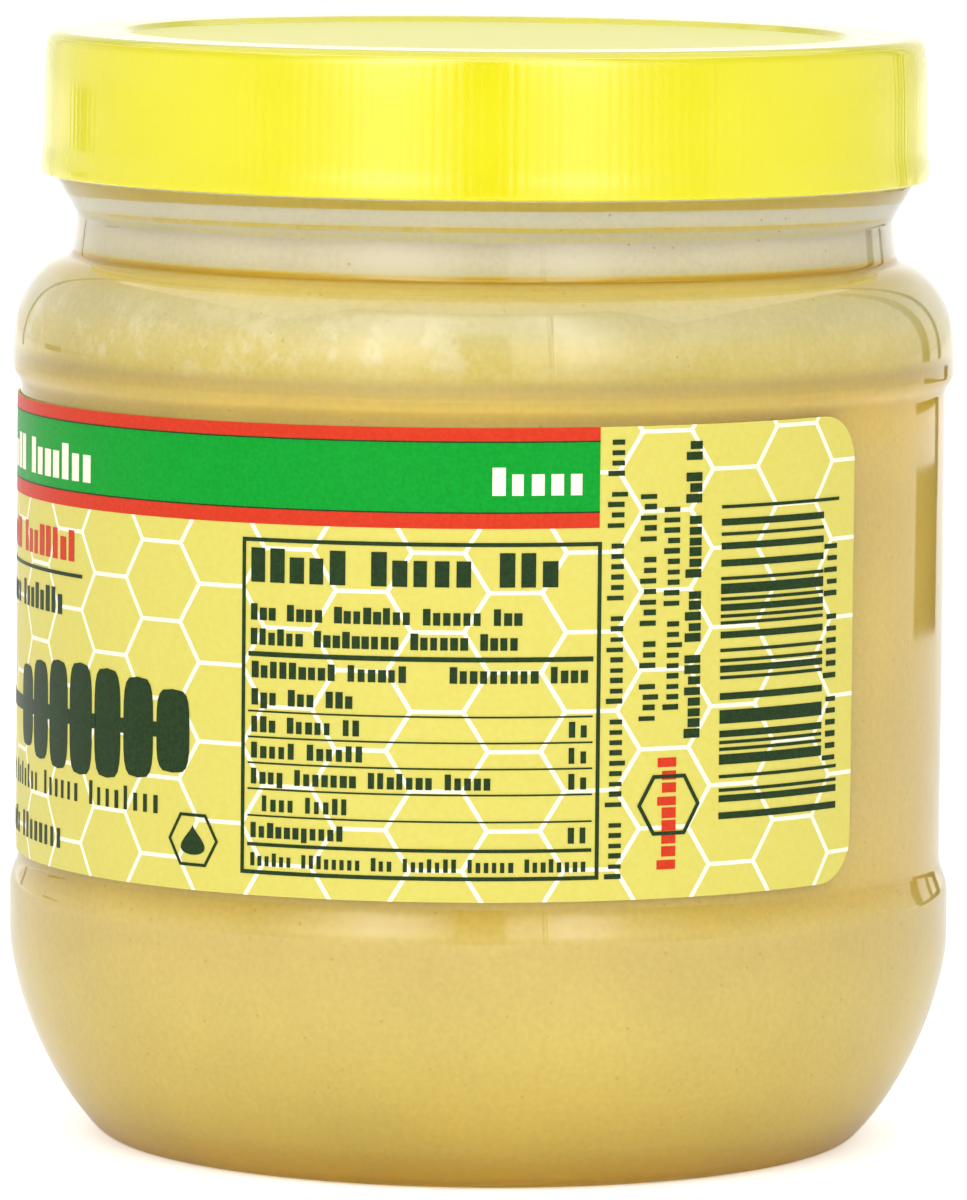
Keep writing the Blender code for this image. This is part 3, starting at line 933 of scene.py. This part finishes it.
def lay(name, quads, radius, thickness, material, trimmed=False):
    """Flat quads wrapped round the panel: t = u / R, x = r sin t, y = -r cos t, z = v + rise t."""
    corners = np.round(quads.reshape(-1, 2), 4)
    flat, index = np.unique(corners, axis=0, return_inverse=True)
    points = np.concatenate([flat, np.zeros((len(flat), 1))], 1)
    obj = mesh_object(name, points, index.reshape(-1, 4))
    if trimmed:
        bm = bmesh.new()
        bm.from_mesh(obj.data)
        trim_to_label(bm)
        bm.to_mesh(obj.data)
        bm.free()
    count = len(obj.data.vertices)
    flat = np.zeros(count * 3, np.float32)
    obj.data.vertices.foreach_get("co", flat)
    u, v = flat.reshape(-1, 3)[:, 0], flat.reshape(-1, 3)[:, 1]
    t = u / LABEL_OUTER
    wrapped = np.stack([radius * np.sin(t), -radius * np.cos(t), v + LABEL_RISE * t], 1) * MM
    obj.data.vertices.foreach_set("co", wrapped.astype(np.float32).reshape(-1))
    obj.data.update()
    solid = obj.modifiers.new("thickness", "SOLIDIFY")
    solid.thickness = thickness * MM
    solid.offset = 1
    evaluated = obj.evaluated_get(bpy.context.evaluated_depsgraph_get())
    finished = bpy.data.meshes.new_from_object(evaluated)
    obj.modifiers.clear()
    obj.data = finished
    smooth(obj)
    obj.data.materials.clear()
    obj.data.materials.append(material)
    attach(obj, "root")
    return obj


def paper_sheet():
    """The paper before it is wrapped: columns whose ends are trimmed by a quarter circle."""
    left, right = LABEL_U
    s = np.radians(np.linspace(0, 90, 13))
    step = LABEL_CORNER * (1 - np.cos(s))
    trim = LABEL_CORNER * (1 - np.sin(s))
    middle = np.linspace(left + LABEL_CORNER, right - LABEL_CORNER, 360)[1:-1]
    u = np.concatenate([left + step, middle, right - step[::-1]])
    cut = np.concatenate([trim, 0 * middle, trim[::-1]])
    high, low = LABEL_TOP - cut, LABEL_BOTTOM + cut
    foot, head = np.stack([u, low], -1), np.stack([u, high], -1)
    return np.stack([foot[:-1], foot[1:], head[1:], head[:-1]], 1)


def wrap_label():
    """The paper with four inks on it, each a hair above the one below."""
    paper = lay("label_paper", paper_sheet(), LABEL_INNER, LABEL_OUTER - LABEL_INNER, coated_paper())
    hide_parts("label")
    cream = printing_ink("off_white_ink", "DBD4BC", "E1DAC8")
    green = printing_ink("green_ink", "008220", "018C28")
    red = printing_ink("red_ink", "B42C12", "B9331B")
    dark = printing_ink("dark_green_ink", "1B2E14", "22381B")
    radii = [LABEL_OUTER + INK_STEP + i * (INK + INK_STEP) for i in range(3)]
    lay("honeycomb_print", honeycomb(), radii[0], INK, cream, trimmed=True)
    lay("green_print", green_ink(), radii[1], INK, green, trimmed=True)
    lay("red_print", red_ink(), radii[1], INK, red, trimmed=True)
    lay("dark_print", dark_ink(), radii[2], INK, dark, trimmed=True)
    lay("white_print", white_on_green(), radii[2], INK, cream)


def floor():
    """Floor: a flat grid z = 0, far larger than the camera sees."""
    reach, cells = 9.0, 8
    line = np.linspace(-reach, reach, cells + 1)
    x, y = np.meshgrid(line, line)
    points = np.stack([x, y, 0 * x], -1).reshape(-1, 3)
    obj = mesh_object("studio_floor", points, grid_quads(cells + 1, cells + 1))
    obj.data.materials.append(seamless_floor())


def flag(name, azimuths, distance, heights, material):
    """Upright card on a circle round the jar: x = d sin a, y = -d cos a. Only reflections see it."""
    a = np.radians(np.linspace(*azimuths, FLAG_COLUMNS))
    z = np.array(heights)
    x = distance * np.sin(a)[None, :] + 0 * z[:, None]
    y = -distance * np.cos(a)[None, :] + 0 * z[:, None]
    points = np.stack([x, y, z[:, None] + 0 * x], -1).reshape(-1, 3)
    obj = mesh_object(name, points, grid_quads(2, FLAG_COLUMNS))
    obj.data.materials.append(material)
    obj.visible_camera = False
    obj.visible_diffuse = False
    obj.visible_shadow = False
    obj.visible_transmission = False


def area_light(name, place, target, size, radiance):
    """Rectangular light at place facing target; its power is pi times area times radiance."""
    lamp = bpy.data.lights.new(name, "AREA")
    lamp.shape = "RECTANGLE"
    lamp.size, lamp.size_y = size
    lamp.energy = math.pi * size[0] * size[1] * radiance
    obj = bpy.data.objects.new(name, lamp)
    bpy.context.scene.collection.objects.link(obj)
    facing = (Vector(target) - Vector(place)).to_track_quat("-Z", "Y")
    obj.matrix_world = Matrix.Translation(place) @ facing.to_matrix().to_4x4()
    obj.visible_camera = False


# Studio: a curved diffuser in front, graded by azimuth and elevation in degrees; radiance of its softboxes
# on both sides of the camera, and a dark notch between them that closes higher up
DIFFUSER_DISTANCE = 0.9
DIFFUSER_LOW = ((-58, 0.4), (-47, 1.2), (-36, 2.4), (-27, 4.2), (-16, 3.0), (-9, 1.5), (-6.5, 1.2),
                (-5.5, 0.05), (6.5, 0.05), (7.5, 1.9), (16, 2.2), (22, 4.0), (31, 3.0), (39, 1.3),
                (47, 0.9), (58, 0.4))
DIFFUSER_HIGH = ((-58, 0.4), (-47, 1.2), (-36, 2.6), (-27, 4.0), (-16, 3.2), (-9, 2.1), (0, 1.7), (9, 2.0),
                 (16, 2.6), (23, 3.8), (31, 2.6), (39, 1.3), (47, 0.6), (58, 0.4))
DIFFUSER_NOTCH_TOP = (34, 42)
DIFFUSER_AZIMUTHS = (-90, 90)
DIFFUSER_ELEVATIONS = (-10, 90)
DIFFUSER_RISE = ((-4, 0.32), (4, 0.4), (10, 0.6), (16, 0.87), (22, 1.0), (57, 1.0), (66, 0.1))
OVERHEAD_PLACE = (0, 0.9, 2.2)
OVERHEAD_TARGET = (0, 0.9, 0)
OVERHEAD_SIZE = (3.6, 3.6)
OVERHEAD_RADIANCE = 0.95
BACKDROP_WHITE = (0.97, 0.97, 0.965, 1)
TENT_RISE = ((0.0, 1.0), (0.2, 1.0), (0.5, 0.55), (1.0, 0.5))
TENT = ((0.0, 0.22), (0.3, 0.55), (0.5, 0.75), (0.75, 0.8), (0.86, 0.9), (0.93, 1.1), (0.98, 1.1), (1.0, 1.4))

# Flags: name, azimuths in degrees, distance and heights in metres
FLAG_COLUMNS = 5
FLAGS = (
    ("flag_left", (-131, -122), 0.7, (0.044, 0.068)),
    ("flag_left_pole", (-151, -149.5), 1.2, (0.0, 1.6)),
    ("flag_right", (132, 137), 0.7, (0.02, 0.6)),
    ("flag_right_post", (143.5, 146), 0.7, (0.02, 0.6)),
    ("flag_low", (132, 150), 0.42, (0.0, 0.021)),
    ("flag_low_arm", (148, 152), 0.42, (0.0, 0.031)),
)


def lit_diffuser():
    """White silk lit from behind: brightness by azimuth atan2(x, -y) and by elevation round the jar."""
    mat = bpy.data.materials.new("lit_diffuser_silk")
    mat.use_nodes = True
    tree = mat.node_tree
    tree.nodes.clear()
    place = add(tree, "ShaderNodeTexCoord").outputs["Object"]
    axes = add(tree, "ShaderNodeSeparateXYZ", {}, {0: place}).outputs
    degree = math.radians(1)
    front = add(tree, "ShaderNodeMath", {"operation": "MULTIPLY", 1: -1.0}, {0: axes["Y"]})
    azimuth = add(tree, "ShaderNodeMath", {"operation": "ARCTAN2"}, {0: axes["X"], 1: front})
    middle = HONEY_LEVEL * MM
    low, high = middle - DIFFUSER_DISTANCE, middle + DIFFUSER_DISTANCE
    climb = add(tree, "ShaderNodeMapRange", {"From Min": low, "From Max": high, "To Min": -1.0},
                {"Value": axes["Z"]})
    elevation = add(tree, "ShaderNodeMath", {"operation": "ARCSINE"}, {0: climb})
    low = graded(tree, azimuth, degree, DIFFUSER_AZIMUTHS, DIFFUSER_LOW)
    high = graded(tree, azimuth, degree, DIFFUSER_AZIMUTHS, DIFFUSER_HIGH)
    shut, gone = (angle * degree for angle in DIFFUSER_NOTCH_TOP)
    notch = add(tree, "ShaderNodeMapRange", {"From Min": shut, "From Max": gone}, {"Value": elevation})
    across = add(tree, "ShaderNodeMix", {"data_type": "RGBA"}, {0: notch, 6: low, 7: high}).outputs[2]
    rise = graded(tree, elevation, degree, DIFFUSER_ELEVATIONS, DIFFUSER_RISE)
    strength = add(tree, "ShaderNodeMath", {"operation": "MULTIPLY"}, {0: across, 1: rise})
    glow = add(tree, "ShaderNodeEmission", {}, {"Strength": strength})
    add(tree, "ShaderNodeOutputMaterial", {}, {"Surface": glow})
    return mat


def diffuser():
    """Curved diffuser: part of a sphere round the honey's top, x = d cos e sin a, y = -d cos e cos a."""
    rows, columns = 19, 41
    a = np.radians(np.linspace(DIFFUSER_LOW[0][0], DIFFUSER_LOW[-1][0], columns))
    e = np.radians(np.linspace(DIFFUSER_RISE[0][0], DIFFUSER_RISE[-1][0], rows))[:, None]
    x, y = np.cos(e) * np.sin(a), -np.cos(e) * np.cos(a)
    z = np.sin(e) + 0 * a
    points = np.stack([x, y, z], -1).reshape(-1, 3) * DIFFUSER_DISTANCE + np.array([0, 0, HONEY_LEVEL * MM])
    obj = mesh_object("front_diffuser", points, grid_quads(rows, columns))
    obj.data.materials.append(lit_diffuser())
    obj.visible_camera = False
    obj.visible_shadow = False


def studio():
    """The front diffuser, the overhead light and the black flags that the gloss mirrors."""
    diffuser()
    area_light("overhead", OVERHEAD_PLACE, OVERHEAD_TARGET, OVERHEAD_SIZE, OVERHEAD_RADIANCE)
    felt = matt_black()
    for name, azimuths, distance, heights in FLAGS:
        flag(name, azimuths, distance, heights, felt)


def surroundings():
    """Pale tent: the camera sees even white, while reflections see it dim in front and bright behind."""
    world = bpy.data.worlds.new("tent")
    bpy.context.scene.world = world
    world.use_nodes = True
    tree = world.node_tree
    tree.nodes.clear()
    direction = add(tree, "ShaderNodeTexCoord").outputs["Generated"]
    axes = add(tree, "ShaderNodeSeparateXYZ", {}, {0: direction}).outputs
    turn = add(tree, "ShaderNodeMapRange", {"From Min": -1.0}, {"Value": axes["Y"]})
    depth = add(tree, "ShaderNodeValToRGB", {"stops": TENT}, {"Fac": turn})
    rise = add(tree, "ShaderNodeValToRGB", {"stops": TENT_RISE}, {"Fac": axes["Z"]})
    tent = add(tree, "ShaderNodeMath", {"operation": "MULTIPLY"}, {0: depth, 1: rise})
    seen = add(tree, "ShaderNodeLightPath").outputs["Is Camera Ray"]
    colour = add(tree, "ShaderNodeMix", {"data_type": "RGBA", 7: BACKDROP_WHITE},
                 {0: seen, 6: tent}).outputs[2]
    back = add(tree, "ShaderNodeBackground", {"Strength": 1.0}, {"Color": colour})
    add(tree, "ShaderNodeOutputWorld", {}, {"Surface": back})


def camera():
    """Pinhole of the fitted view: right, up and back axes pitched down, then rolled."""
    data = bpy.data.cameras.new("photo_camera")
    data.sensor_fit = "VERTICAL"
    data.sensor_height = FILM_HEIGHT
    data.lens = FOCAL_PIXELS / FRAME_PIXELS[1] * FILM_HEIGHT
    data.clip_start, data.clip_end = 0.01, 50
    obj = bpy.data.objects.new("photo_camera", data)
    bpy.context.scene.collection.objects.link(obj)
    forward = Vector((0, math.cos(CAMERA_PITCH), -math.sin(CAMERA_PITCH)))
    level_right = Vector((1, 0, 0))
    level_up = level_right.cross(forward)
    right = level_right * math.cos(CAMERA_ROLL) + level_up * math.sin(CAMERA_ROLL)
    up = level_up * math.cos(CAMERA_ROLL) - level_right * math.sin(CAMERA_ROLL)
    turn = Matrix((right, up, -forward)).transposed().to_4x4()
    obj.matrix_world = Matrix.Translation((CAMERA_ASIDE, -CAMERA_DISTANCE, CAMERA_HEIGHT)) @ turn
    bpy.context.scene.camera = obj


def main():
    """Build the pieces, the studio and the view."""
    camera()
    surroundings()
    studio()
    floor()
    jar_shell(blown_pet())
    honey_fill(creamed_honey())
    screw_lid(moulded_polypropylene())
    wrap_label()
    bpy.context.scene.view_settings.view_transform = "Standard"
    cycles = bpy.context.scene.cycles
    cycles.diffuse_bounces = 6
    cycles.max_bounces = 12
    cycles.blur_glossy = 0.0
    cycles.use_light_tree = False


main()
